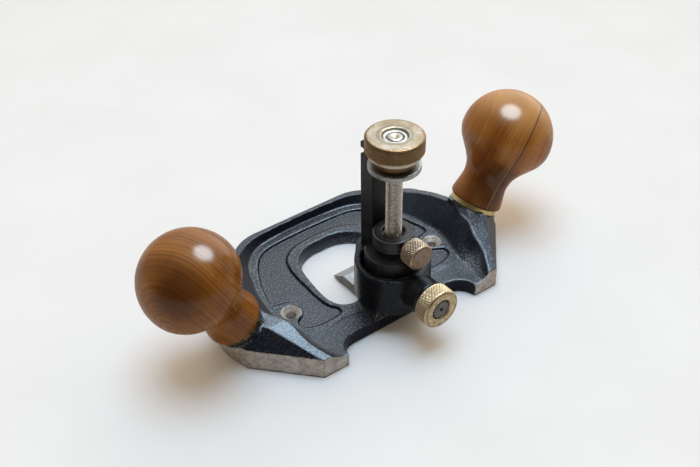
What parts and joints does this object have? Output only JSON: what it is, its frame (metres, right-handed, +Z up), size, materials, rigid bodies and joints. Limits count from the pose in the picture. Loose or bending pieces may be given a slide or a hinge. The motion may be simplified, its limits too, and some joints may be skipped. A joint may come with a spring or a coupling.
{
  "type": "hand router plane",
  "caption": "Hand router plane: iron sole with an open throat, splayed turned ball knobs, a square-shanked cutter, knurled depth knob on a threaded post, depth stop and blade clamp.",
  "frame": {"origin": "underside of the sole, on the axis of the threaded post", "axes": "+Z up along the post, +X towards the right-hand knob, +Y the way the cutter points, away from the user"},
  "size_m": [0.2506, 0.1235, 0.1086],
  "materials": {
    "casting": "dark blue-black paint, worn to the metal on the edges",
    "knob_wood": "varnished figured hardwood",
    "brass": "tarnished",
    "steel": "turned, tarnished",
    "black_steel": "blackened",
    "cutter_steel": "ground bright"
  },
  "bodies": {
    "base": {"base_casting": "casting", "knob_left": "knob_wood", "knob_right": "knob_wood", "ferrule_left": "brass", "ferrule_right": "brass", "knob_stud_left": "steel", "knob_stud_right": "steel", "knob_insert_left": "brass", "knob_insert_right": "brass", "adjuster_post": "steel", "clamp_spring": "steel"},
    "blade": {"blade_shank": "black_steel", "blade_head": "cutter_steel", "blade_screw": "steel"},
    "adjuster": {"adjuster_knob": "brass", "adjuster_bush": "steel"},
    "depth_stop": {"depth_stop_collar": "black_steel"},
    "stop_screw": {"depth_stop_screw": "brass"},
    "clamp_shoe": {"clamp_shoe": "black_steel"},
    "clamp": {"clamp_screw": "steel", "clamp_knob": "brass"}
  },
  "joints": [
    {"name": "adjuster_turn", "type": "hinge", "parent": "blade", "child": "adjuster", "pos_m": [0, 0, 0.1], "axis": [0, 0, 1], "range_deg": [-11250, 900]},
    {"name": "blade_slide", "type": "slide", "parent": "base", "child": "blade", "axis": [0, 0, 1], "range_m": [-0.025, 0.002]},
    {"name": "depth_stop_slide", "type": "slide", "parent": "base", "child": "depth_stop", "axis": [0, 0, 1], "range_m": [0, 0.011]},
    {"name": "stop_screw_turn", "type": "hinge", "parent": "depth_stop", "child": "stop_screw", "pos_m": [0, -0.0175, 0.0492], "axis": [0, 1, 0], "range_deg": [-360, 0]},
    {"name": "clamp_shoe_slide", "type": "slide", "parent": "base", "child": "clamp_shoe", "axis": [0, 1, 0], "range_m": [-0.0012, 0], "deforming": ["clamp_spring"]},
    {"name": "clamp_turn", "type": "hinge", "parent": "clamp_shoe", "child": "clamp", "pos_m": [0, -0.033, 0.0272], "axis": [0, 1, 0], "range_deg": [-432, 0]}
  ],
  "couplings": [
    {"joint": "adjuster_turn", "follows": "blade_slide", "rad_per_m": 7854},
    {"joint": "clamp_turn", "follows": "clamp_shoe_slide", "rad_per_m": 6283.2}
  ]
}
